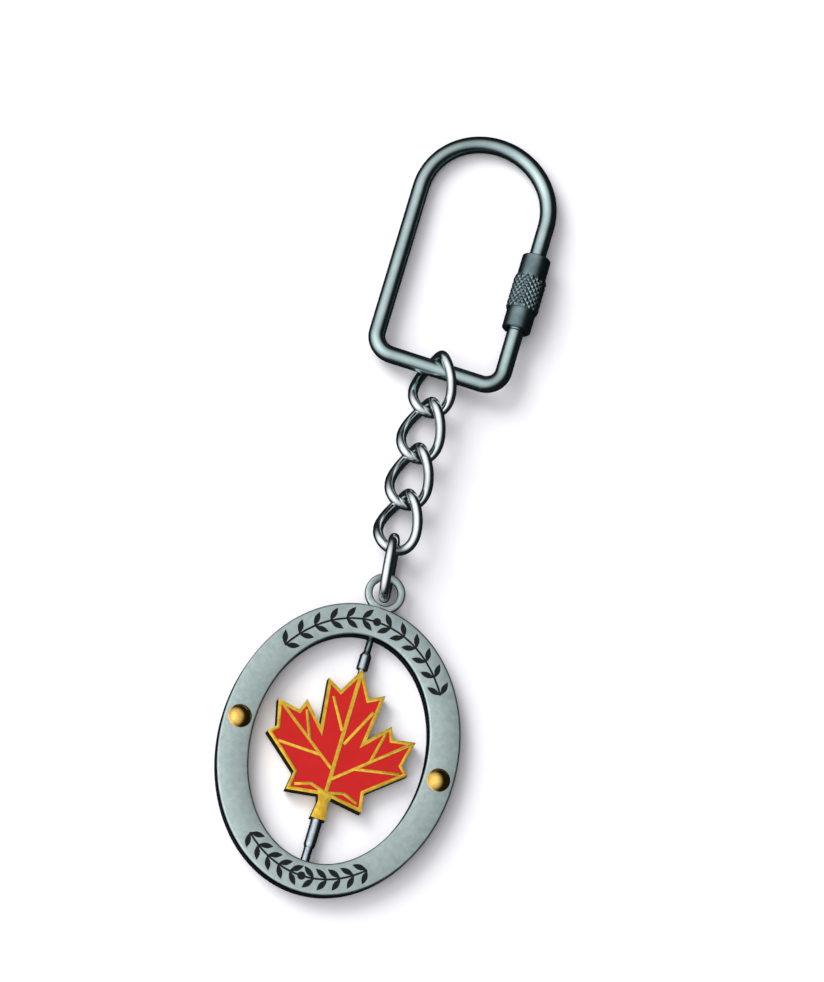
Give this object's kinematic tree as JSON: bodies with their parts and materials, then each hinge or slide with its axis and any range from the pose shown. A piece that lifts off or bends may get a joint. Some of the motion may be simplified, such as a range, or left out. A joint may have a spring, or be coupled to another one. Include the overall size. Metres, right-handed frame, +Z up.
{
  "type": "keychain",
  "caption": "Metal keychain: stirrup-shaped key ring with a knurled screw sleeve, short curb chain, and an oval frame in which an enamelled maple leaf spins.",
  "frame": {"origin": "middle of the whole keychain's box, on the surface that it lies on", "axes": "+Z up, away from that surface; +Y along the keychain from the medallion to the key ring; +X to the right, towards the lock sleeve"},
  "size_m": [0.0346, 0.1174, 0.0072],
  "materials": {
    "satin_nickel": "satin",
    "dark_nickel": "gloss",
    "bright_nickel": "gloss",
    "gold_plate": "gloss",
    "steel": "satin",
    "red_enamel": "gloss",
    "black_enamel": "satin"
  },
  "bodies": {
    "frame": {"frame_front_plate": "satin_nickel", "frame_back_plate": "satin_nickel", "left_rivet": "gold_plate", "right_rivet": "gold_plate", "upper_garland_inlay": "black_enamel", "lower_garland_inlay": "black_enamel"},
    "leaf": {"leaf_casting": "gold_plate", "upper_axle_pin": "steel", "lower_axle_pin": "steel", "front_enamel_upper_left": "red_enamel", "front_enamel_upper_right": "red_enamel", "front_enamel_lower_left": "red_enamel", "front_enamel_lower_right": "red_enamel", "back_enamel_upper_left": "red_enamel", "back_enamel_upper_right": "red_enamel", "back_enamel_lower_left": "red_enamel", "back_enamel_lower_right": "red_enamel"},
    "link_5": {"connector_link": "bright_nickel"},
    "link_4": {"chain_link_4": "bright_nickel"},
    "link_3": {"chain_link_3": "bright_nickel"},
    "link_2": {"chain_link_2": "bright_nickel"},
    "link_1": {"chain_link_1": "bright_nickel"},
    "ring": {"key_ring": "dark_nickel"},
    "sleeve": {"lock_sleeve": "dark_nickel"}
  },
  "joints": [
    {"name": "leaf_spin", "type": "hinge", "parent": "frame", "child": "leaf", "pos_m": [0, -0.03705, 0.0015], "axis": [0, 1, 0], "continuous": true},
    {"name": "connector_swing", "type": "hinge", "parent": "frame", "child": "link_5", "pos_m": [0, -0.01055, 0.0036], "axis": [1, 0, 0], "range_deg": [-85, 85]},
    {"name": "link_4_swing", "type": "hinge", "parent": "link_5", "child": "link_4", "pos_m": [-0.00096, -0.00681, 0.00374], "axis": [-0.9818, -0.0047, 0.1897], "range_deg": [-80, 80]},
    {"name": "link_3_swing", "type": "hinge", "parent": "link_4", "child": "link_3", "pos_m": [-0.00119, 0.00194, 0.00277], "axis": [0.1879, 0.113, 0.9757], "range_deg": [-50, 65]},
    {"name": "link_2_swing", "type": "hinge", "parent": "link_3", "child": "link_2", "pos_m": [-0.00153, 0.00749, 0.003], "axis": [0.9778, 0.025, -0.2079], "range_deg": [-60, 60]},
    {"name": "link_1_swing", "type": "hinge", "parent": "link_2", "child": "link_1", "pos_m": [-0.00176, 0.01629, 0.00298], "axis": [-0.2078, -0.0082, -0.9781], "range_deg": [-50, 55]},
    {"name": "ring_swing", "type": "hinge", "parent": "link_1", "child": "ring", "pos_m": [-0.00215, 0.02133, 0.00303], "axis": [-0.9995, 0, -0.0314], "range_deg": [-135, 135]},
    {"name": "sleeve_slide", "type": "slide", "parent": "ring", "child": "sleeve", "axis": [0.0014, 0.999, -0.044], "range_m": [0, 0.0043]}
  ]
}
